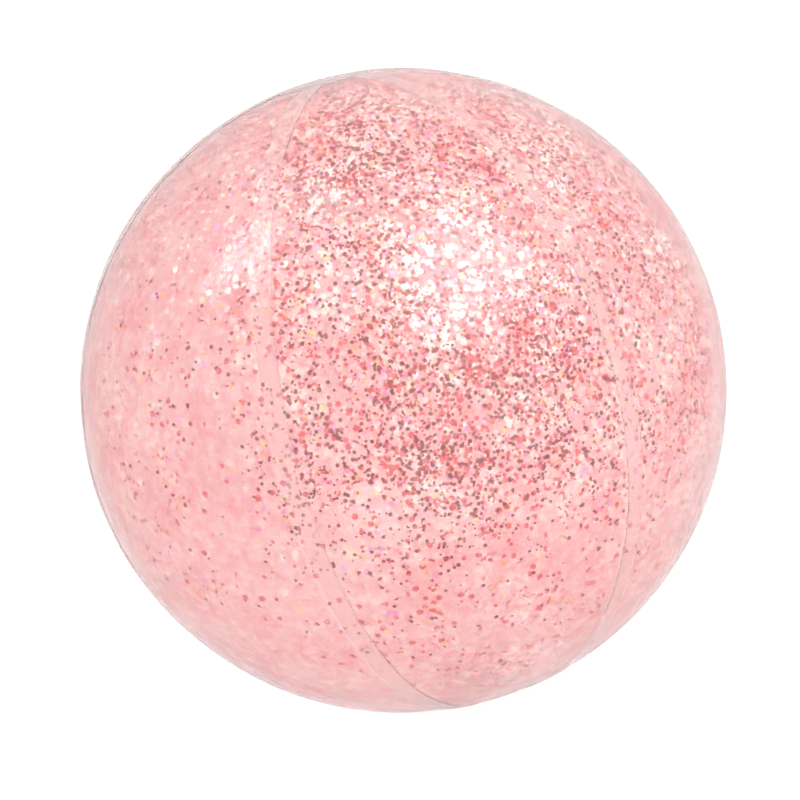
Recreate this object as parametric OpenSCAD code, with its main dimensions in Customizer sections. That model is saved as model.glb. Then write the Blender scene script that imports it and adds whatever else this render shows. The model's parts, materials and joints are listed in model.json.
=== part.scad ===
/* [Ball] */
// Radius of the blown-up ball at its equator
ball_r = 130; // [100:1:180]
// How much shorter the ball is than round, at each pole
pole_flat = 0.9; // [0.3:0.1:3]
// Radius of the patch that the ball's own weight flattens
rest_r = 15; // [8:1:16]
// Thickness of the film
film_t = 0.25; // [0.2:0.05:0.5]
// Width of the welded lap of one panel over the next
lap_w = 8; // [4:0.5:12]
// Radius of the round patch over the panel tips at each pole
disc_r = 20; // [18:1:30]
// Radius of the small gap that the panel tips leave under that patch
tip_r = 6; // [4:1:10]

/* [Valve] */
// Latitude of the valve in the rear panel
valve_lat = 38; // [20:1:55]
// Radius of the flange welded to the inside of the film
flange_r = 16; // [14:1:20]
// Thickness of the flange
flange_t = 0.8; // [0.5:0.1:1.5]
// Radius of the throat that the stem works in
throat_r = 8.5; // [8:0.25:10]
// Depth of the soft cone that turns inside out, which is half of the stem's travel
cone_h = 8; // [7:0.5:9]
// Thickness of the soft cone
cone_t = 0.6; // [0.4:0.1:1]
// Outer radius of the stem
stem_r = 4.7; // [4.5:0.1:5]
// Radius of the bore that takes a pump's nozzle
bore_r = 3.2; // [2.8:0.1:3.2]
// Radius of the wider seat for the plug
seat_r = 3.5; // [3.5:0.1:3.8]
// Depth of the plug's seat below the mouth
seat_h = 5.2; // [4.5:0.1:5.5]
// How far the mouth stands proud of the film when the stem is pushed in
mouth_h = 2; // [1.5:0.1:3]
// Length of the stem
stem_h = 16; // [15:0.5:18]
// Radius of the plug's cap
cap_r = 6; // [5.8:0.1:6.5]

/* [Glitter] */
// Flakes in each colour group
flakes = 40; // [8:4:60]
// Width of a flake across its corners
flake_w = 1.3; // [0.8:0.1:2]
// Thickness of a flake
flake_t = 0.1; // [0.05:0.05:0.15]

/* [Hidden] */
$fn = 180;

// The ball's outline is one arc whose centre lies a little outside the axis
pole_r = ball_r - pole_flat;
arc_r = (ball_r * ball_r + pole_r * pole_r) / (2 * ball_r);
arc_off = ball_r - arc_r;
rest_h = sqrt(arc_r * arc_r - (rest_r - arc_off) * (rest_r - arc_off));
top_h = sqrt(arc_r * arc_r - (tip_r - arc_off) * (tip_r - arc_off));
centre_h = rest_h + film_t;

// Panels
gore_n = 6;
gore_a = 360 / gore_n;
lap_join = 1.5;
lap_sweep = 34;
lap_lead = 6;
rear_a = 90;
front_a = -90;

// Valve, in its own frame: +Z out of the ball, zero at the film's outer face
round_n = 64;
film_hole_r = throat_r + 0.5;
flange_sweep = 40;
fit_gap = 0.1;
cone_out = film_t + cone_t;
lip_r = 5.4;
lip_h = 1.4;
cap_h = 1.2;
plug_h = 5;
plug_tip_r = 2.1;
plug_gap = 0.08;
strap_w = 4;
strap_t = 0.7;
strap_bend_r = 0.7;
strap_bend_y = 7.2;
strap_root_y = 4.5;
flap_r = 4.3;
flap_t = 0.5;
web_w = 3;
web_t = 0.35;
web_rise = 1.8;
web_in = stem_r - fit_gap / 2;
web_foot = fit_gap + flap_t + web_t;

// Glitter
golden = 137.508;
flake_lat_max = 74;
flake_gap = 0.05;
layer_step = 0.15;
valve_clear = 14;

film_rgb = [0.98, 0.62, 0.60];
clear_rgb = [0.96, 0.86, 0.86];

// Half of the ball's section, with its surface moved out by q and both poles level
module outline(q) {
    intersection() {
        translate([arc_off, 0])
            circle(r = arc_r + q);
        translate([0, -(rest_h + q)])
            square([2 * ball_r, rest_h + top_h + 2 * q]);
    }
}

// Section of the film between two depths, from radius r_in to radius r_out
module layer(q_in, q_out, r_in, r_out) {
    difference() {
        intersection() {
            outline(q_out);
            translate([r_in, -2 * ball_r])
                square([r_out - r_in, 4 * ball_r]);
        }
        outline(q_in);
    }
}

// Turns a section about the ball's axis, from one longitude through a sweep
module turned(from, sweep) {
    translate([0, 0, centre_h])
        rotate([0, 0, from])
            rotate_extrude(angle = sweep)
                children();
}

// A strip along a seam, from q_in up to the lap's outer face, between two distances from the seam
module strip(seam, q_in, side_in, side_out) {
    intersection() {
        turned(seam - lap_lead, lap_sweep)
            layer(q_in, film_t, disc_r + fit_gap, 2 * ball_r);
        rotate([0, 0, seam])
            translate([0, side_in, 0])
                cube([2 * ball_r, side_out - side_in, 3 * ball_r]);
    }
}

// The edge of a panel, rooted in its own film and welded over the edge of the next panel
module lap(seam) {
    strip(seam, -film_t / 2, -lap_join, 0);
    strip(seam, 0, 0, lap_w);
}

module gore(i) {
    color(film_rgb)
        union() {
            turned((i - 1) * gore_a, gore_a)
                layer(-film_t, 0, tip_r, 2 * ball_r);
            lap(i * gore_a);
        }
}

// Places its children on the film at a longitude and latitude, with +Z out and +Y down the film
module on_film(lon, lat, q) {
    translate([0, 0, centre_h])
        rotate([0, 0, lon])
            translate([arc_off + (arc_r + q) * cos(lat), 0, (arc_r + q) * sin(lat)])
                rotate([0, 90 - lat, 0])
                    rotate([0, 0, -90])
                        children();
}

module at_valve() {
    on_film(rear_a, valve_lat, 0)
        children();
}

module rear_gore() {
    color(film_rgb)
        difference() {
            gore(2);
            at_valve()
                cylinder(h = 4 * cone_h, r = film_hole_r, center = true, $fn = round_n);
        }
}

module pole_disc_top() {
    color(film_rgb)
        turned(0, 360)
            intersection() {
                layer(0, film_t, 0, disc_r);
                square(2 * ball_r);
            }
}

module pole_disc_bottom() {
    color(film_rgb)
        turned(0, 360)
            difference() {
                layer(0, film_t, 0, disc_r);
                square(2 * ball_r);
            }
}

module valve_flange() {
    color(clear_rgb)
        intersection() {
            turned(rear_a - flange_sweep / 2, flange_sweep)
                intersection() {
                    layer(-film_t - flange_t, -film_t, tip_r, 2 * ball_r);
                    square(2 * ball_r);
                }
            at_valve()
                difference() {
                    cylinder(h = 4 * cone_h, r = flange_r, center = true, $fn = round_n);
                    cylinder(h = 5 * cone_h, r = throat_r, center = true, $fn = round_n);
                }
        }
}

// Soft cone between the flange and the stem, turned inwards as when the stem is pushed in
module valve_cone() {
    color(clear_rgb)
        at_valve()
            rotate_extrude($fn = round_n)
                polygon([
                    [throat_r, -cone_out],
                    [throat_r, -cone_out - cone_t],
                    [stem_r, -cone_h - cone_t],
                    [stem_r, -cone_h]
                ]);
}

module valve_stem() {
    color(clear_rgb)
        at_valve()
            difference() {
                union() {
                    translate([0, 0, mouth_h - stem_h])
                        cylinder(h = stem_h, r = stem_r, $fn = round_n);
                    translate([0, 0, mouth_h - lip_h])
                        cylinder(h = lip_h, r = lip_r, $fn = round_n);
                }
                translate([0, 0, mouth_h - stem_h - 1])
                    cylinder(h = stem_h + 2, r = bore_r, $fn = round_n);
                translate([0, 0, mouth_h - seat_h])
                    cylinder(h = seat_h + 1, r = seat_r, $fn = round_n);
            }
}

module valve_plug() {
    color(clear_rgb)
        at_valve()
            translate([0, 0, mouth_h])
                rotate_extrude($fn = round_n)
                    polygon([
                        [0, -plug_h],
                        [plug_tip_r, -plug_h],
                        [seat_r - plug_gap, 0],
                        [seat_r - plug_gap, fit_gap],
                        [cap_r, fit_gap],
                        [cap_r, fit_gap + cap_h],
                        [0, fit_gap + cap_h]
                    ]);
}

// Strap from the stem's lip round to the edge of the cap, with its bend as the hinge
module plug_tether() {
    bend_z = mouth_h - lip_h / 2 + strap_bend_r;
    color(clear_rgb)
        difference() {
            at_valve()
                rotate([90, 0, 90])
                    linear_extrude(height = strap_w, center = true)
                        difference() {
                            union() {
                                translate([strap_bend_y, bend_z])
                                    circle(r = strap_bend_r + strap_t / 2, $fn = round_n);
                                translate([strap_root_y, bend_z - strap_bend_r - strap_t / 2])
                                    square([
                                        strap_bend_y - strap_root_y,
                                        2 * strap_bend_r + strap_t
                                    ]);
                            }
                            translate([strap_bend_y, bend_z])
                                circle(r = strap_bend_r - strap_t / 2, $fn = round_n);
                            translate([strap_root_y - 1, bend_z - strap_bend_r + strap_t / 2])
                                square([
                                    strap_bend_y - strap_root_y + 1,
                                    2 * strap_bend_r - strap_t
                                ]);
                        }
            at_valve()
                translate([0, 0, mouth_h - lip_h - 1])
                    cylinder(h = lip_h + 1, r = lip_r, $fn = round_n);
            at_valve()
                translate([0, 0, mouth_h])
                    cylinder(h = 2 * cap_h, r = cap_r + fit_gap / 2, $fn = round_n);
        }
}

module check_flap() {
    color(clear_rgb)
        at_valve()
            translate([0, 0, mouth_h - stem_h - fit_gap - flap_t])
                cylinder(h = flap_t, r = flap_r, $fn = round_n);
}

// Thin strap that joins the flap to the side of the stem and bends as its hinge
module flap_web() {
    stem_end = mouth_h - stem_h;
    color(clear_rgb)
        difference() {
            at_valve()
                translate([-web_w / 2, flap_r / 2, stem_end - web_foot])
                    difference() {
                        cube([web_w, stem_r + web_t - flap_r / 2, web_rise + web_foot]);
                        translate([-1, -1, web_t])
                            cube([web_w + 2, web_in - flap_r / 2 + 1, web_rise + web_foot]);
                    }
            at_valve()
                cylinder(h = 4 * stem_h, r = stem_r, center = true, $fn = round_n);
        }
}

// Flakes that cling to the inside of the film, thickest round the front panel
module glitter(group, rgb) {
    color(rgb)
        for (i = [0 : flakes - 1]) {
            u = (i + 0.5) / flakes;
            turn = 2 * (i * golden / 360 - floor(i * golden / 360)) - 1;
            lon = front_a + 180 * turn * (0.35 + 0.65 * turn * turn) + 9 * group;
            lat = asin((2 * u - 1) * sin(flake_lat_max));
            near_valve = abs(lat - valve_lat) < valve_clear
                && cos(lon - rear_a) > cos(valve_clear * 1.5);
            if (!near_valve)
                on_film(lon, lat, -film_t - flake_gap - flake_t - group * layer_step)
                    cylinder(h = flake_t, d = flake_w, $fn = 6);
        }
}

gore(1);  // gore_1
rear_gore();  // gore_2
gore(3);  // gore_3
gore(4);  // gore_4
gore(5);  // gore_5
gore(6);  // gore_6
pole_disc_top();
pole_disc_bottom();
valve_flange();
valve_cone();
valve_stem();
plug_tether();
valve_plug();
check_flap();
flap_web();
glitter(0, [0.45, 0.16, 0.12]);  // glitter_copper
glitter(1, [0.90, 0.35, 0.38]);  // glitter_rose
glitter(2, [0.95, 0.93, 0.88]);  // glitter_silver
glitter(3, [0.80, 0.65, 0.90]);  // glitter_lilac
glitter(4, [0.95, 0.85, 0.50]);  // glitter_gold
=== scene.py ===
"""Looks of the inflatable beach ball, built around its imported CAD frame. Metres, +Z up."""
import json
import math

import bmesh
import bpy
import numpy as np
from mathutils import Matrix, Vector


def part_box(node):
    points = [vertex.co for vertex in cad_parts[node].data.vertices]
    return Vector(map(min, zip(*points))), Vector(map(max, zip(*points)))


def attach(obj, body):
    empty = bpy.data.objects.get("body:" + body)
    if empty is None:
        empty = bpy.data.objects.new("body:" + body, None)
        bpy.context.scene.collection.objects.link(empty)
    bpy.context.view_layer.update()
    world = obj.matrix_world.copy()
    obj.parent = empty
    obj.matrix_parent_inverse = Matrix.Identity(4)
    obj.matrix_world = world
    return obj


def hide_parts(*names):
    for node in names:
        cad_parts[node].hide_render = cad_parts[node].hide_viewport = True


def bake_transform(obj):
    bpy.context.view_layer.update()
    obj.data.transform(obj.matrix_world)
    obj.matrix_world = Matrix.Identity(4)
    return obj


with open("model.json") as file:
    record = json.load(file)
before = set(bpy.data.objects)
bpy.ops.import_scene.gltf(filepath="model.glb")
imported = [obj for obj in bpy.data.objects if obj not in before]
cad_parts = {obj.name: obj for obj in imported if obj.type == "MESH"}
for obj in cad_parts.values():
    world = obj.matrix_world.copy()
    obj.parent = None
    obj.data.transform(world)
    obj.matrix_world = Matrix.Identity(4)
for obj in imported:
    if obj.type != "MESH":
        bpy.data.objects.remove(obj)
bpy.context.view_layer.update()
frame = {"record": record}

MM = 0.001
SEED = 7

# ---------------------------------------------------------------- sizes, from the frame
FILM_T = 0.25 * MM
BALL_R = -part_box("gore_5")[0].y
TOP_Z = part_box("pole_disc_top")[1].z
DISC_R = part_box("pole_disc_top")[1].x
FOOT_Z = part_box("pole_disc_bottom")[0].z
REST_R = 15 * MM
TIP_R = 6 * MM
POLE_FLAT = 0.9 * MM
LAP_W = 8 * MM
POLE_R = BALL_R - POLE_FLAT
ARC_R = (BALL_R ** 2 + POLE_R ** 2) / (2 * BALL_R)
ARC_OFF = BALL_R - ARC_R
CENTRE = FOOT_Z + FILM_T + math.sqrt(ARC_R ** 2 - (REST_R - ARC_OFF) ** 2)
GORE_A = math.radians(60)
NOZZLE = next(m for m in frame["record"]["mounts"] if m["name"] == "nozzle_bore")
VALVE_OUT = np.array(NOZZLE["axis"], float)
VALVE_OUT /= np.linalg.norm(VALVE_OUT)
VALVE_LAT = math.asin(VALVE_OUT[2])
VALVE_AT = np.array([
    0, ARC_OFF + ARC_R * math.cos(VALVE_LAT), CENTRE + ARC_R * math.sin(VALVE_LAT)])
VALVE_LON = math.radians(90)
VALVE_CLEAR = 18.5 * MM
HOLE_R = 9 * MM
HOLE_REACH = 6 * MM
DISC_RINGS = (11 * MM, 17.5 * MM)

# ---------------------------------------------------------------- camera
VIEW_AZIMUTH = math.radians(-6.5)
VIEW_ELEVATION = math.radians(8.2)
VIEW_LEAN = math.radians(14.6)
VIEW_DISTANCE = 10 * BALL_R
LENS = 145.0
SHIFT_X = -0.00375
SHIFT_Y = -0.012


def view_axes():
    """Right, up and back directions of the camera, before it leans."""
    a, e = VIEW_AZIMUTH, VIEW_ELEVATION
    back = Vector((math.sin(a) * math.cos(e), -math.cos(a) * math.cos(e), math.sin(e)))
    right = Vector((0, 0, 1)).cross(back).normalized()
    return right, back.cross(right), back


def lean(right, up):
    """The camera's own right and up, turned so that the ball's axis leans left."""
    c, s = math.cos(VIEW_LEAN), math.sin(VIEW_LEAN)
    return right * c - up * s, right * s + up * c


def make_camera():
    right, up, back = view_axes()
    right, up = lean(right, up)
    data = bpy.data.cameras.new("camera")
    data.lens = LENS
    data.shift_x = SHIFT_X
    data.shift_y = SHIFT_Y
    cam = bpy.data.objects.new("camera", data)
    bpy.context.scene.collection.objects.link(cam)
    place = Vector((0, 0, CENTRE)) + back * VIEW_DISTANCE
    turn = Matrix((right, up, back)).transposed().to_4x4()
    cam.matrix_world = Matrix.Translation(place) @ turn
    bpy.context.scene.camera = cam


# ---------------------------------------------------------------- node helpers
def new_material(name):
    mat = bpy.data.materials.new(name)
    mat.use_nodes = True
    nodes = mat.node_tree.nodes
    return mat, nodes, mat.node_tree.links, nodes["Principled BSDF"]


def noise(nodes, links, scale, detail=2.0, rough=0.5):
    where = nodes.new("ShaderNodeTexCoord")
    tex = nodes.new("ShaderNodeTexNoise")
    tex.inputs["Scale"].default_value = scale
    tex.inputs["Detail"].default_value = detail
    tex.inputs["Roughness"].default_value = rough
    links.new(where.outputs["Object"], tex.inputs["Vector"])
    return tex.outputs["Fac"]


def ramp(nodes, links, source, stops):
    node = nodes.new("ShaderNodeValToRGB")
    while len(node.color_ramp.elements) < len(stops):
        node.color_ramp.elements.new(0.5)
    for element, (at, colour) in zip(node.color_ramp.elements, stops):
        element.position = at
        element.color = (*colour, 1)
    links.new(source, node.inputs["Fac"])
    return node.outputs["Color"]


def feed(links, socket, value):
    """Links a node's output to a socket, or sets a plain number or colour on it."""
    if isinstance(value, bpy.types.NodeSocket):
        links.new(value, socket)
    elif isinstance(value, tuple):
        socket.default_value = (*value, 1)
    else:
        socket.default_value = value


def mix_colours(nodes, links, share, first, second):
    node = nodes.new("ShaderNodeMix")
    node.data_type = "RGBA"
    factor, a, b = (node.inputs[n] for n in (0, 6, 7))
    feed(links, factor, share)
    feed(links, a, first)
    feed(links, b, second)
    return node.outputs[2]


def bump(nodes, links, height, strength, distance):
    node = nodes.new("ShaderNodeBump")
    node.inputs["Strength"].default_value = strength
    node.inputs["Distance"].default_value = distance
    links.new(height, node.inputs["Height"])
    return node.outputs["Normal"]


# ---------------------------------------------------------------- materials
FILM_DEEP = (0.920, 0.535, 0.55)
FILM_MID = (0.940, 0.715, 0.715)
FILM_PALE = (0.968, 0.89, 0.86)
FILM_WELD = (0.985, 0.84, 0.835)

FILM_PATCHES = 34
FILM_SPECKS = 230
FILM_MOTTLE = 0.55
FILM_RIPPLES = 110


def film_material():
    """Milky coral vinyl: mostly clear, a little haze, with a glossy, faintly rippled face."""
    mat, nodes, links, p = new_material("film")
    patches = ramp(nodes, links, noise(nodes, links, FILM_PATCHES, 3, 0.6), [
        (0.33, FILM_DEEP), (0.50, FILM_MID), (0.67, FILM_PALE)])
    specks = ramp(nodes, links, noise(nodes, links, FILM_SPECKS, 5, 0.75), [
        (0.40, FILM_DEEP), (0.52, FILM_MID), (0.62, FILM_PALE)])
    weld = nodes.new("ShaderNodeAttribute")
    weld.attribute_name = "weld"
    tint = mix_colours(nodes, links, FILM_MOTTLE, patches, specks)
    tint = mix_colours(nodes, links, weld.outputs["Fac"], tint, FILM_WELD)
    links.new(tint, p.inputs["Base Color"])
    p.inputs["Transmission Weight"].default_value = 0.93
    p.inputs["Roughness"].default_value = 0.5
    p.inputs["IOR"].default_value = 1.08
    p.inputs["Coat Weight"].default_value = 0.6
    p.inputs["Coat Roughness"].default_value = 0.16
    ripple = bump(nodes, links, noise(nodes, links, FILM_RIPPLES, 4, 0.6), 0.6, 0.8 * MM)
    links.new(ripple, p.inputs["Coat Normal"])
    return mat


def flake_material(name, dark, light, painted_glint):
    mat, nodes, links, p = new_material(name)
    colour = ramp(nodes, links, noise(nodes, links, 400, 1), [(0.35, dark), (0.65, light)])
    links.new(colour, p.inputs["Base Color"])
    p.inputs["Metallic"].default_value = 0.35
    p.inputs["Roughness"].default_value = 0.30
    # The emission is a painted glint: the flakes glow in their light colour, standing in for light
    # they catch.
    p.inputs["Emission Color"].default_value = (*light, 1)
    p.inputs["Emission Strength"].default_value = painted_glint
    return mat


def valve_material():
    """Soft milky vinyl of the valve moulding."""
    mat, nodes, links, p = new_material("valve_vinyl")
    colour = ramp(nodes, links, noise(nodes, links, 90, 3), [
        (0.3, (0.96, 0.86, 0.85)), (0.7, (1.0, 0.93, 0.92))])
    links.new(colour, p.inputs["Base Color"])
    p.inputs["Transmission Weight"].default_value = 0.3
    p.inputs["Roughness"].default_value = 0.28
    p.inputs["IOR"].default_value = 1.5
    p.inputs["Subsurface Weight"].default_value = 0.3
    p.inputs["Subsurface Scale"].default_value = 2 * MM
    links.new(bump(nodes, links, noise(nodes, links, 900, 2), 0.15, 0.1 * MM), p.inputs["Normal"])
    return mat


# ---------------------------------------------------------------- mesh helpers
def make_object(name, verts, faces, mat, smooth=True):
    mesh = bpy.data.meshes.new(name)
    mesh.from_pydata([tuple(v) for v in verts], [], [tuple(f) for f in faces])
    if mat:
        mesh.materials.append(mat)
    if smooth:
        mesh.polygons.foreach_set("use_smooth", [True] * len(mesh.polygons))
    mesh.update()
    obj = bpy.data.objects.new(name, mesh)
    bpy.context.scene.collection.objects.link(obj)
    return obj


def finish_piece(obj, body, slot, *nodes):
    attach(obj, body)
    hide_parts(*nodes)
    return obj


# ---------------------------------------------------------------- the ball's surface
def surface(lon, lat, q):
    """Points on the film, moved out by q, with both poles levelled. Arrays in, N x 3 out."""
    across = ARC_OFF + (ARC_R + q) * np.cos(lat)
    up = CENTRE + (ARC_R + q) * np.sin(lat)
    up = np.clip(up, FOOT_Z + FILM_T - q, TOP_Z - FILM_T + q)
    return np.stack([across * np.cos(lon), across * np.sin(lon), up], axis=-1)


def smooth(x):
    """Eases from 0 to 1 while x goes from 0 to 1."""
    x = np.clip(x, 0, 1)
    return x * x * (3 - 2 * x)


def waves(points, rng, count, length):
    """A smooth random field, a sum of plane waves of about one wavelength."""
    total = np.zeros(points.shape[:-1])
    for _ in range(count):
        way = rng.normal(size=3)
        way *= 2 * math.pi / (length * rng.uniform(0.7, 1.4) * np.linalg.norm(way))
        total += np.cos(points @ way + rng.uniform(0, 2 * math.pi))
    return total / math.sqrt(count / 2)


def shell(outer, inner):
    """Closes two grids of points into a thin shell. Returns its vertices and faces."""
    rows, cols = outer.shape[:2]
    verts = np.concatenate([outer.reshape(-1, 3), inner.reshape(-1, 3)])
    base = rows * cols
    faces = []
    for r in range(rows - 1):
        for c in range(cols - 1):
            a, b = r * cols + c, r * cols + c + 1
            d, e = a + cols, b + cols
            faces.append((a, b, e, d))
            faces.append((base + a, base + d, base + e, base + b))
    for r in range(rows - 1):
        a, b = r * cols, (r + 1) * cols
        faces.append((a, b, base + b, base + a))
        a, b = a + cols - 1, b + cols - 1
        faces.append((a, base + a, base + b, b))
    for c in range(cols - 1):
        a, b = c, c + 1
        faces.append((a, base + a, base + b, b))
        a, b = a + (rows - 1) * cols, b + (rows - 1) * cols
        faces.append((a, b, base + b, base + a))
    return verts, faces


GORE_COLS = 64
GORE_ROWS = 190
LAP_COLS = 7
SEAM_DIP = 0.5 * MM
SEAM_DIP_W = 14 * MM
SEAM_CLEAR = 0.85 * MM
PUCKER = 0.12 * MM
PUCKER_W = 25 * MM
PUCKER_WAVES = 8
PUCKER_LENGTH = 30 * MM
STEP_W = 1.5 * MM
EDGE_W = 0.8 * MM
EDGE_T = 0.03 * MM
LAP_GAP = 0.02 * MM


def gore_skin(i, mat):
    """One panel: a thin shell from its own seam to the far edge of its lap over the next panel."""
    rng = np.random.RandomState(SEED + i)
    start, end = (i - 1) * GORE_A, i * GORE_A
    lat_tip = math.acos((TIP_R - ARC_OFF) / ARC_R)
    lat = np.linspace(-lat_tip, lat_tip, GORE_ROWS)
    across = ARC_OFF + ARC_R * np.cos(lat)
    lap = np.where(across > DISC_R + 0.1 * MM, np.arcsin(np.minimum(LAP_W / across, 1)), 0)
    edge = np.minimum(EDGE_W / across, GORE_A / GORE_COLS / 2)[:, None]
    flat = np.linspace(0, 1, GORE_COLS)[None, 2:]
    lap_at = np.concatenate([np.linspace(0, 1, LAP_COLS)[1:], [1.0]])
    lon = np.concatenate([
        start + edge * np.array([[0.0, 1.0]]),
        start + (end - start) * np.repeat(flat, GORE_ROWS, 0),
        end + lap[:, None] * lap_at[None] - np.minimum(edge, lap[:, None] / 2)
        * (np.arange(LAP_COLS) == LAP_COLS - 2)], axis=1)
    lat = np.repeat(lat[:, None], lon.shape[1], 1)
    across = np.repeat(across[:, None], lon.shape[1], 1)
    past = (lon - end) * across
    rise = smooth((past + STEP_W) / STEP_W) * (across > DISC_R)
    near = np.minimum(np.abs(lon - start), np.abs(lon - end)) * across
    dip = -SEAM_DIP * np.exp(-(near / SEAM_DIP_W) ** 2)
    base = surface(lon, lat, 0)
    ripple = PUCKER * waves(base, rng, PUCKER_WAVES, PUCKER_LENGTH) * np.exp(-(near / PUCKER_W) ** 2)
    off_pole = smooth((across - DISC_R) / (2 * DISC_R))
    dip, ripple = dip * off_pole, ripple * off_pole
    q = dip + ripple + rise * (FILM_T + LAP_GAP)
    thick = np.full_like(q, FILM_T)
    thick[:, 0] = EDGE_T
    thick[:, -1] = np.where(lap > 0, EDGE_T, FILM_T)
    top = q - (FILM_T - thick) * (np.arange(lon.shape[1]) > GORE_COLS // 2)
    verts, faces = shell(surface(lon, lat, top), surface(lon, lat, top - thick))
    obj = make_object(f"gore_skin_{i}", verts, faces, mat)
    if start < VALVE_LON < end:
        cut_round_hole(obj, HOLE_R)
    mark_weld(obj, start)
    return finish_piece(obj, "envelope", "film", f"gore_{i}")


def mark_weld(obj, start):
    """Marks where two films lie on each other, so that the pair looks no deeper than one."""
    at = points_of(obj)
    across = np.maximum(np.hypot(at[:, 0], at[:, 1]), MM)
    turn = np.mod(np.arctan2(at[:, 1], at[:, 0]) - start + GORE_A / 4, 2 * math.pi) - GORE_A / 4
    into, past = turn * across, (turn - GORE_A) * across
    double = smooth((LAP_W - into) / MM) + smooth(past / MM + 1)
    double = np.maximum(double, smooth((DISC_R - across) / MM + 1))
    mark = obj.data.attributes.new("weld", "FLOAT", "POINT")
    mark.data.foreach_set("value", np.clip(double, 0, 1).astype(np.float32))


def points_of(obj):
    flat = np.empty(3 * len(obj.data.vertices))
    obj.data.vertices.foreach_get("co", flat)
    return flat.reshape(-1, 3)


def cut_round_hole(obj, radius):
    """Cuts the valve's hole through a panel."""
    ring = [(radius, -HOLE_REACH), (radius, HOLE_REACH), (0, HOLE_REACH), (0, -HOLE_REACH)]
    cutter = turned("cutter", ring, None, at_valve)
    cut = obj.modifiers.new("cut", "BOOLEAN")
    cut.operation = "DIFFERENCE"
    cut.solver = "EXACT"
    cut.object = cutter
    seen = obj.evaluated_get(bpy.context.evaluated_depsgraph_get())
    mesh = bpy.data.meshes.new_from_object(seen)
    obj.modifiers.clear()
    obj.data = mesh
    bpy.data.objects.remove(cutter)


RING_W = 0.45 * MM
RING_DEPTH = 0.15 * MM
STAR_W = 0.7 * MM
STAR_DEPTH = 0.09 * MM
STAR_START = 6 * MM
DISC_ROWS = 70
DISC_EDGE_ROWS = 6
DISC_COLS = 192


def pole_disc(name, side, mat):
    """Round patch over the panel tips: thin at its edge, with two pressed rings and a star."""
    flat_r = DISC_R - EDGE_W
    edge_r = np.linspace(flat_r, DISC_R, DISC_EDGE_ROWS)[1:]
    r = np.concatenate([np.linspace(0, flat_r, DISC_ROWS), edge_r])
    lon = np.linspace(0, 2 * math.pi, DISC_COLS + 1)[:-1]
    lat = side * np.arccos((r - ARC_OFF) / ARC_R)
    rings = sum(np.exp(-((r - at) / RING_W) ** 2) for at in DISC_RINGS)
    off_seam = np.mod(lon + GORE_A / 2, GORE_A) - GORE_A / 2
    star = np.exp(-(off_seam[None] * r[:, None] / STAR_W) ** 2)
    press = RING_DEPTH * rings[:, None] + STAR_DEPTH * star * smooth(r / STAR_START)[:, None]
    roll = (FILM_T - EDGE_T) * smooth((r - flat_r) / EDGE_W)[:, None]
    lon, lat = np.meshgrid(lon, lat)
    top = FILM_T - press - roll
    outer, inner = surface(lon, lat, top), surface(lon, lat, np.zeros_like(top))
    verts, faces = closed_round(outer, inner, side < 0)
    obj = make_object(name, verts, faces, mat)
    mark = obj.data.attributes.new("weld", "FLOAT", "POINT")
    mark.data.foreach_set("value", np.ones(len(verts), np.float32))
    node = "pole_disc_top" if side > 0 else "pole_disc_bottom"
    return finish_piece(obj, "envelope", "film", node)


def closed_round(outer, inner, flip):
    """Closes two round grids, whose first row is their centre, into a thin disc."""
    rows, cols = outer.shape[:2]
    verts = [outer[0, 0], inner[0, 0]]
    verts += list(outer[1:].reshape(-1, 3)) + list(inner[1:].reshape(-1, 3))
    base = (rows - 1) * cols
    faces = []
    for c in range(cols):
        d = (c + 1) % cols
        faces.append((0, 2 + c, 2 + d))
        faces.append((1, 2 + base + d, 2 + base + c))
        for r in range(rows - 2):
            a, b = 2 + r * cols + c, 2 + r * cols + d
            faces.append((a, a + cols, b + cols, b))
            faces.append((base + a, base + b, base + b + cols, base + a + cols))
        a, b = 2 + (rows - 2) * cols + c, 2 + (rows - 2) * cols + d
        faces.append((a, base + a, base + b, b))
    if flip:
        faces = [f[::-1] for f in faces]
    return verts, faces


# ---------------------------------------------------------------- turned and swept pieces
VALVE_X = np.array([1.0, 0, 0])
VALVE_Y = np.cross(VALVE_OUT, VALVE_X)


def at_valve(points):
    """From the valve's own frame, +Z out of the ball and zero on the film, to the ball's."""
    return VALVE_AT + np.asarray(points) @ np.array([VALVE_X, VALVE_Y, VALVE_OUT])


def turned(name, outline, mat, place, steps=96, shape=None):
    """Turns a closed outline of (radius, height) about the axis. shape may change the rings."""
    angle = np.linspace(0, 2 * math.pi, steps, endpoint=False)
    verts, rings = [], []
    for radius, height in outline:
        first = len(verts)
        if radius < 1e-7:
            verts.append((0, 0, height))
            rings.append([first] * steps)
            continue
        r = np.full(steps, radius) if shape is None else shape(radius, height, angle)
        verts += list(np.stack([r * np.cos(angle), r * np.sin(angle), np.full(steps, height)], -1))
        rings.append(list(range(first, first + steps)))
    faces = []
    for ring, after in zip(rings, rings[1:] + rings[:1]):
        for c in range(steps):
            d = (c + 1) % steps
            corners = [ring[c], ring[d], after[d], after[c]]
            corners = [v for k, v in enumerate(corners) if v != corners[k - 1]]
            if len(corners) > 2:
                faces.append(corners)
    return make_object(name, place(verts), faces, mat)


def rounded(corners, steps=4):
    """A closed outline from corners of (radius, height, rounding), all in millimetres."""
    out = []
    for k, (x, y, reach) in enumerate(corners):
        here = np.array([x, y])
        back = np.array(corners[k - 1][:2]) - here
        on = np.array(corners[(k + 1) % len(corners)][:2]) - here
        cut = min(reach, 0.45 * np.linalg.norm(back), 0.45 * np.linalg.norm(on))
        if cut <= 0:
            out.append(here)
            continue
        first = here + back / np.linalg.norm(back) * cut
        last = here + on / np.linalg.norm(on) * cut
        for t in np.linspace(0, 1, steps + 1):
            out.append((1 - t) ** 2 * first + 2 * t * (1 - t) * here + t * t * last)
    return [(p[0] * MM, p[1] * MM) for p in out]


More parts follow.
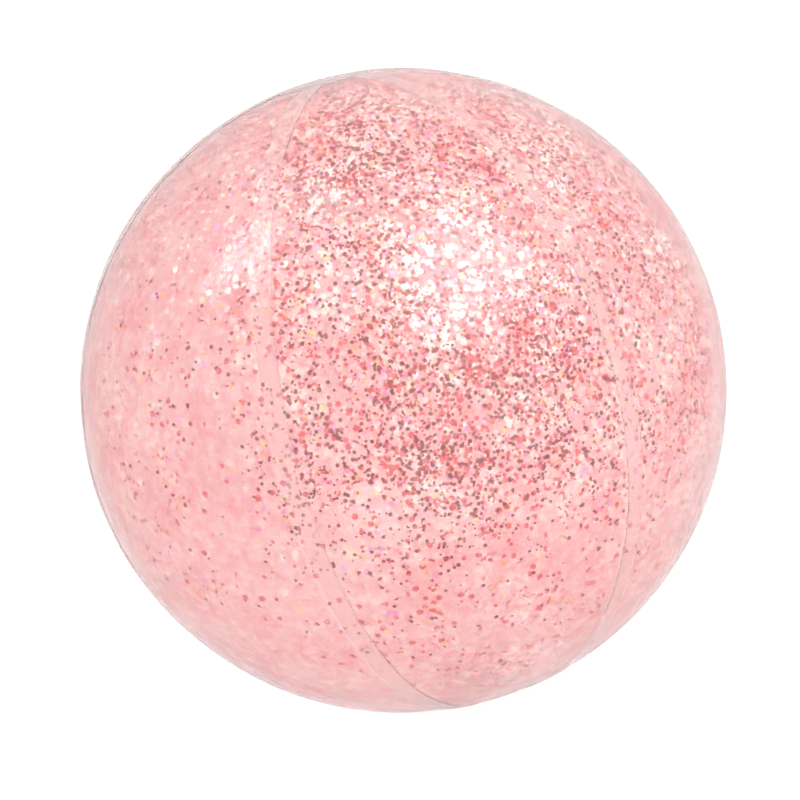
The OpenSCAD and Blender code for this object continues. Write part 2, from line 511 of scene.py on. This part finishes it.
def strap(name, path, widths, thick, mat):
    """A flat strap along a path of (y, z) in the valve's frame, with softened edges."""
    path = np.array(path, float)
    along = np.gradient(path, axis=0)
    along /= np.linalg.norm(along, axis=1)[:, None]
    verts = []
    for (y, z), (dy, dz), width in zip(path, along, widths):
        for x, t in ((-1, -0.5), (-1, 0.5), (-0.88, 1), (0.88, 1), (1, 0.5), (1, -0.5),
                     (0.88, -1), (-0.88, -1)):
            lift = t * thick / 2
            verts.append((x * width / 2, y - dz * lift, z + dy * lift))
    faces = [tuple(range(8))]
    for k in range(len(path) - 1):
        faces += [(8 * k + c, 8 * k + 8 + c, 8 * k + 8 + (c + 1) % 8, 8 * k + (c + 1) % 8)
                  for c in range(8)]
    faces.append(tuple(8 * len(path) - 8 + c for c in range(7, -1, -1)))
    return make_object(name, at_valve(np.array(verts) * MM), faces, mat)


def bend(centre, radius, start, end, steps=10):
    """Points of an arc, from one angle to another in degrees."""
    angle = np.radians(np.linspace(start, end, steps))
    return [(centre[0] + radius * math.cos(a), centre[1] + radius * math.sin(a)) for a in angle]


# ---------------------------------------------------------------- glitter
FLAKE_T = 0.06 * MM
FLAKE_TILT = math.radians(13)
FLAKE_GAP_MM = 0.10
FLAKE_SCATTER = 0.12 * MM
FLAKE_SKEW = 1.3
FLAKE_SIN_LAT = 0.985
FLAKE_TRIES = 8
# How far the flakes of one panel spill over the seam into the panel before it
SPILL_W = 16 * MM
SPILL = 0.5
# Flakes thin out over LOW_FADE of latitude, down to LOW_END south of the equator
LOW_END = math.radians(31)
LOW_FADE = math.radians(29)
LAP_SHARE = 0.6
# Flakes pile up along both edges of the lap on the right of the front panel
PILED_SEAM = math.radians(-60)
PILE_W = 1.5 * MM
PILE = 0.6
# Places where the flakes lie thickest: longitude, latitude and reach in degrees, and how much
# thicker they lie
CLUMPS = [
    (-88, -1, 16, 1), (-70, 12, 9, 0.9), (-96, 28, 9, 1), (-93, 56, 13, 2), (-50, 42, 14, 1.5)]
CLUMP_HIGH = 20
DENSITY_MAX = 3.5


def density(lon, lat, clump, bare, low_share, gather):
    """How thick the glitter lies, from 0 to DENSITY_MAX. The front panel carries most."""
    turn = np.mod(lon, 2 * math.pi) / GORE_A
    gore = np.floor(turn).astype(int)
    shares = np.array([0.32, 0.26, 0.30, bare, 0.90, 0.68])
    spill = smooth(1 - (gore + 1 - turn) * GORE_A * BALL_R * np.cos(lat) / SPILL_W)
    share = shares[gore] + SPILL * spill * (shares[(gore + 1) % 6] - shares[gore])
    low = smooth((lat + LOW_END) / LOW_FADE)
    value = share * (low_share + (1 - low_share) * low)
    for c_lon, c_lat, reach, boost in CLUMPS:
        near = np.hypot((lon - math.radians(c_lon)) * np.cos(lat), lat - math.radians(c_lat))
        pull = boost * gather[c_lat > CLUMP_HIGH]
        value = value * (1 + pull * np.exp(-(near / math.radians(reach)) ** 2))
    value = value * np.clip(0.9 + 0.22 * clump, 0.1, 1.5)
    into = np.mod(lon, GORE_A) * BALL_R * np.cos(lat)
    value = np.where(into < LAP_W, LAP_SHARE * value, value)
    past = (lon - PILED_SEAM) * BALL_R * np.cos(lat)
    edge = np.minimum(np.abs(past), np.abs(past - LAP_W))
    return value * (1 + PILE * np.exp(-(edge / PILE_W) ** 2))


def flake_places(rng, count, bare, low_share, gather):
    """Longitudes and latitudes of flakes, thinned by density()."""
    lon, lat = [], []
    while len(lon) < count:
        n = FLAKE_TRIES * count
        a = rng.uniform(-math.pi, math.pi, n)
        b = np.arcsin(rng.uniform(-FLAKE_SIN_LAT, FLAKE_SIN_LAT, n))
        at = surface(a, b, 0)
        clump = waves(at, np.random.RandomState(SEED + 50), 14, 26 * MM)
        keep = rng.uniform(0, DENSITY_MAX, n) < density(a, b, clump, bare, low_share, gather)
        keep &= np.linalg.norm(at - VALVE_AT, axis=1) > VALVE_CLEAR
        lon.extend(a[keep])
        lat.extend(b[keep])
    return np.array(lon[:count]), np.array(lat[:count])


def flakes(name, mat, slot, rng, count, sizes, layer, bare, low_share, gather):
    """Six-sided flakes, each a thin closed prism that clings to the inside of the film."""
    lon, lat = flake_places(rng, count, bare, low_share, gather)
    r = (sizes[0] + (sizes[1] - sizes[0]) * rng.uniform(0, 1, count) ** FLAKE_SKEW) * MM / 2
    lean_a = np.abs(rng.normal(0, FLAKE_TILT, count))
    gap = (FLAKE_GAP_MM + layer) * MM + rng.uniform(0, FLAKE_SCATTER, count)
    near = np.abs(np.mod(lon + GORE_A / 2, GORE_A) - GORE_A / 2) * BALL_R * np.cos(lat)
    drop = SEAM_CLEAR * np.exp(-(near / PUCKER_W) ** 2)
    depth = drop + FILM_T + gap + r * np.sin(lean_a)
    centre = surface(lon, lat, -depth)
    out = np.stack([np.cos(lat) * np.cos(lon), np.cos(lat) * np.sin(lon), np.sin(lat)], -1)
    side = np.stack([-np.sin(lon), np.cos(lon), np.zeros(count)], -1)
    up = np.cross(out, side)
    turn = rng.uniform(0, 2 * math.pi, count)
    hinge = side * np.cos(turn)[:, None] + up * np.sin(turn)[:, None]
    other = np.cross(out, hinge)
    c, s = np.cos(lean_a)[:, None], np.sin(lean_a)[:, None]
    other, normal = other * c + out * s, out * c - other * s
    spin = rng.uniform(0, math.pi / 3, count)
    verts = []
    for face in (0.5, -0.5):
        for k in range(6):
            a = spin + k * math.pi / 3
            ring = hinge * np.cos(a)[:, None] + other * np.sin(a)[:, None]
            verts.append(centre + ring * r[:, None] + normal * (face * FLAKE_T))
    verts = np.stack(verts, 1).reshape(-1, 3)
    one = [tuple(range(6)), tuple(range(11, 5, -1))]
    one += [(k, k + 6, (k + 1) % 6 + 6, (k + 1) % 6) for k in range(6)]
    faces = [tuple(v + 12 * n for v in f) for n in range(count) for f in one]
    obj = make_object(name, verts, faces, mat, smooth=False)
    return finish_piece(obj, "envelope", slot, slot)


# ---------------------------------------------------------------- the valve, in millimetres
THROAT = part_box("valve_cone")[1].x / MM
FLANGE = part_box("valve_flange")[1].x / MM
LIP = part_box("valve_stem")[1].x / MM
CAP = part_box("valve_plug")[1].x / MM
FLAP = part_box("check_flap")[1].x / MM
TETHER_W = 2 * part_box("plug_tether")[1].x / MM
WEB_W = 2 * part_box("flap_web")[1].x / MM
BORE = NOZZLE["dims"]["r_mm"]
STEM, SEAT, MOUTH, STEM_END, SEAT_END = 4.7, 3.5, 2.0, -14.0, -3.2
CONE_TOP, CONE_END, CONE_T = -1.15, -8.3, 0.6
FLANGE_T = 0.8


def sag(radius):
    """How far the round film has fallen away at a distance from the valve's axis."""
    return radius ** 2 / (2 * BALL_R / MM)


def valve_flange(mat):
    """Ring welded under the film: thin at its rim, with a bead at the throat and weld ribs."""
    r = np.linspace(THROAT, FLANGE, 90)
    top = -FILM_T / MM - 0.01 - sag(r)
    thick = FLANGE_T - 0.45 * smooth((r - FLANGE + 2) / 2)
    for at, height, width in ((THROAT + 0.5, 0.3, 0.5), (10.6, 0.2, 0.3), (12.4, 0.2, 0.3),
                              (14.2, 0.15, 0.3)):
        thick = thick + height * np.exp(-((r - at) / width) ** 2)
    outline = list(zip(r[::-1] * MM, top[::-1] * MM)) + list(zip(r * MM, (top - thick) * MM))
    piece = turned("flange", outline, mat, at_valve)
    finish_piece(piece, "envelope", "valve", "valve_flange")


def valve_cone(mat):
    """Soft cone from the throat down to the stem, with an S-shaped section and thin roots."""
    t = np.linspace(0, 1, 40)
    r = STEM - 0.1 + (THROAT + 0.2 - STEM) * (1 - smooth(t))
    z = CONE_TOP + (CONE_END - CONE_TOP) * t
    half = CONE_T / 2 * (0.65 + 0.35 * np.sin(math.pi * t))
    dr, dz = np.gradient(r), np.gradient(z)
    size = np.hypot(dr, dz)
    side = np.stack([-dz / size * half, dr / size * half], -1)
    line = np.stack([r, z], -1)
    outline = list((line + side) * MM) + list((line - side)[::-1] * MM)
    piece = turned("cone", [tuple(p) for p in outline][::-1], mat, at_valve)
    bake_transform(piece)
    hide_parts("valve_cone")


def valve_stem(mat):
    """Short tube with a rolled lip, three grip rings, the plug's seat and the nozzle's bore."""
    corners = [(SEAT, MOUTH, 0.25), (LIP, MOUTH, 0.5), (LIP, MOUTH - 1.4, 0.45),
               (STEM, MOUTH - 1.4, 0.3)]
    for z in (-1.2, -3.0, -4.8):
        corners += [(STEM, z + 0.45, 0.2), (STEM + 0.3, z, 0.3), (STEM, z - 0.45, 0.2)]
    corners += [(STEM, STEM_END, 0.5), (BORE, STEM_END, 0.3), (BORE, SEAT_END, 0.1),
                (SEAT, SEAT_END, 0.15)]
    piece = turned("stem", rounded(corners)[::-1], mat, at_valve)
    finish_piece(piece, "stem", "valve", "valve_stem")


def valve_plug(mat):
    """Tapered plug with a bead, under a cap with a dished top, a milled rim and a pull tab."""
    corners = [(0, MOUTH + 0.95, 0), (2.3, MOUTH + 0.95, 0.5), (3.0, MOUTH + 1.3, 0.4),
               (CAP, MOUTH + 1.3, 0.5), (CAP, MOUTH + 0.1, 0.35), (3.42, MOUTH + 0.1, 0.1),
               (3.1, 0.9, 0.2), (3.3, 0.4, 0.3), (2.9, -0.1, 0.2), (2.1, -3, 0.7), (0, -3, 0)]

    def milled(radius, height, angle):
        notch = 0.13 * MM * smooth((radius / MM - CAP + 0.5) / 0.4)
        return radius - notch * (0.5 + 0.5 * np.cos(28 * angle))

    piece = turned("plug", rounded(corners)[::-1], mat, at_valve, 168, milled)
    tab = [(2.6, -4.6)] + bend((0, -8.6), 2.3, 0, -180, 17) + [(-2.6, -4.6)]
    add_tablet(piece, tab, MOUTH + 0.25, MOUTH + 1.15, 0.25)
    for y in (-7.3, -8.4, -9.5):
        bar = bend((1.3, y), 0.25, -90, 90, 7) + bend((-1.3, y), 0.25, 90, 270, 7)
        add_tablet(piece, bar, MOUTH + 1.0, MOUTH + 1.4, 0.1)
    finish_piece(piece, "plug", "valve", "valve_plug")


def add_tablet(piece, outline, low, high, edge):
    """Adds a flat solid with softened edges, from an (x, y) outline in the valve's frame."""
    ring = np.array(outline, float)
    middle = ring.mean(0)
    reach = np.linalg.norm(ring - middle, axis=1)[:, None]
    inset = ring - (ring - middle) / reach * edge
    levels = [(inset, low), (ring, low + edge), (ring, high - edge), (inset, high)]
    mesh = bpy.data.meshes.new("tablet")
    n = len(ring)
    verts = [(x * MM, y * MM, z * MM) for loop, z in levels for x, y in loop]
    faces = [tuple(range(n)), tuple(range(4 * n - 1, 3 * n - 1, -1))]
    for k in range(3):
        faces += [(k * n + c, k * n + n + c, k * n + n + (c + 1) % n, k * n + (c + 1) % n)
                  for c in range(n)]
    mesh.from_pydata([tuple(p) for p in at_valve(verts)], [], faces)
    whole = bmesh.new()
    whole.from_mesh(piece.data)
    whole.from_mesh(mesh)
    bmesh.ops.recalc_face_normals(whole, faces=whole.faces)
    for face in whole.faces:
        face.smooth = True
    whole.to_mesh(piece.data)
    whole.free()
    bpy.data.meshes.remove(mesh)


def plug_tether(mat):
    """Strap from the stem's lip round its bend to the edge of the cap, narrow at the bend."""
    mid = MOUTH - 0.7
    path = [(5.2, mid), (5.8, mid), (6.5, mid)]
    path += bend((7.2, mid + 0.7), 0.7, -90, 90, 13) + [(6.6, mid + 1.4), (5.8, mid + 1.4)]
    widths = TETHER_W * (1 - 0.22 * np.sin(math.pi * np.linspace(0, 1, len(path))) ** 2)
    piece = strap("tether", path, widths, 0.7, mat)
    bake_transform(piece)
    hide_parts("plug_tether")


def check_flap(mat):
    """Thin round flap with a raised sealing rim, lying against the stem's inner end."""
    low = STEM_END - 0.6
    corners = [(0, low + 0.4, 0), (2.6, low + 0.4, 0.2), (2.9, low + 0.5, 0.2),
               (FLAP, low + 0.5, 0.2), (FLAP, low, 0.2), (1.2, low, 0.3), (0.9, low - 0.15, 0.2),
               (0, low - 0.15, 0)]
    piece = turned("flap", rounded(corners)[::-1], mat, at_valve)
    finish_piece(piece, "flap", "valve", "check_flap")


def flap_web(mat):
    """Thin strap from the flap's back up the side of the stem, where the real flap hinges; here it
    is a fixed shape that does not bend with the flap.
    """
    low, out = STEM_END - 0.78, STEM + 0.18
    path = [(2.4, low), (3.1, low), (3.9, low)] + bend((out - 0.5, low + 0.5), 0.5, -90, 0, 7)
    path += [(out, z) for z in (-14.0, -13.6, -13.2, -12.8, -12.3)]
    piece = strap("web", path, np.full(len(path), WEB_W), 0.35, mat)
    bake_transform(piece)
    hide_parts("flap_web")


# ---------------------------------------------------------------- stage and lights
FLOOR_SIZE = 6.0
FLOOR_GLOW = 0.93
WORLD_LIGHT = 1.05
LAMP_DISTANCE = 1.2


def make_floor():
    mat, nodes, links, p = new_material("floor")
    p.inputs["Base Color"].default_value = (0.10, 0.10, 0.10, 1)
    p.inputs["Roughness"].default_value = 0.9
    p.inputs["Emission Color"].default_value = (1, 1, 1, 1)
    p.inputs["Emission Strength"].default_value = FLOOR_GLOW
    size = FLOOR_SIZE
    z = FOOT_Z - 0.1 * MM
    verts = [(-size, -size, z), (size, -size, z), (size, size, z), (-size, size, z)]
    floor = make_object("floor", verts, [(0, 1, 2, 3)], mat, smooth=False)


def area_light(name, towards, width, height, power):
    """A soft box that faces the ball from a direction given in the camera's own axes."""
    right, up, back = view_axes()
    right, up = lean(right, up)
    way = (right * towards[0] + up * towards[1] + back * towards[2]).normalized()
    data = bpy.data.lights.new(name, "AREA")
    data.shape = "ELLIPSE"
    data.size = width
    data.size_y = height
    data.energy = power
    lamp = bpy.data.objects.new(name, data)
    bpy.context.scene.collection.objects.link(lamp)
    lamp.location = Vector((0, 0, CENTRE)) + way * LAMP_DISTANCE
    lamp.rotation_euler = way.to_track_quat("Z", "Y").to_euler()


def make_world():
    world = bpy.data.worlds.new("studio")
    world.use_nodes = True
    back = world.node_tree.nodes["Background"]
    back.inputs["Color"].default_value = (1, 1, 1, 1)
    back.inputs["Strength"].default_value = WORLD_LIGHT
    bpy.context.scene.world = world


# ---------------------------------------------------------------- build
make_camera()
film = film_material()
for index in range(1, 7):
    gore_skin(index, film)

# Dark and light colour, painted glint (a glow in the light colour that stands in for light the
# flakes catch), count, smallest and largest width in millimetres, depth under the film in
# millimetres, share in the left panel, share in the lower third, and how far the flakes gather in
# the low and in the high clumps
PAINTS = {
    # Copper flakes: their dark colours are partly the glitter's own copper and partly painted shade,
    # the darkness of flakes seen against the light behind them.
    "copper": (
        (0.19, 0.035, 0.035), (0.50, 0.14, 0.11), 0, 9900, (0.7, 1.9), 0, 0.13, 0.15, (1.3, 0.9)),
    "rose": (
        (0.86, 0.21, 0.24), (0.97, 0.40, 0.40), 0, 6000, (1.2, 2.9), 0.25, 0.16, 0.3, (2.2, 0.3)),
    "silver": (
        (1.0, 0.95, 0.87), (1.0, 0.99, 0.96), 0.18, 9900, (1.4, 3.3), 0.1, 0.2, 0.55, (0.2, 0.7)),
    "lilac": (
        (0.86, 0.50, 0.92), (1.0, 0.76, 0.98), 0.1, 1500, (1.6, 3.2), 0.12, 0.3, 0.5, (0, 0)),
    "gold": (
        (1.0, 0.86, 0.46), (1.0, 0.95, 0.68), 0.1, 1500, (1.6, 3.2), 0.12, 0.3, 0.5, (0, 0)),
}
for number, (name, paint) in enumerate(PAINTS.items()):
    dark, light, painted_glint, count, sizes, layer, bare, low_share, gather = paint
    flakes(
        "flakes_" + name, flake_material("flake_" + name, dark, light, painted_glint), "glitter_" + name,
        np.random.RandomState(SEED + 10 + number), count, sizes, layer, bare, low_share, gather)

pole_disc("disc_skin_top", 1, film)
pole_disc("disc_skin_bottom", -1, film)

vinyl = valve_material()
for make in (valve_flange, valve_cone, valve_stem, plug_tether, valve_plug, check_flap, flap_web):
    make(vinyl)

make_floor()
make_world()
# Direction in the camera's axes, width, height and power
LAMPS = {
    "key": ((0.352, 0.627, 0.694), 1.0, 0.8, 9),
    "side": ((-0.761, 0.592, 0.267), 0.22, 0.46, 2.2),
    "upper": ((-0.50, 0.83, 0.25), 0.7, 0.5, 0.7),
}
for lamp_name, settings in LAMPS.items():
    area_light(lamp_name, *settings)

scene = bpy.context.scene
scene.view_settings.view_transform = "Standard"
scene.cycles.max_bounces = 16
scene.cycles.transmission_bounces = 16
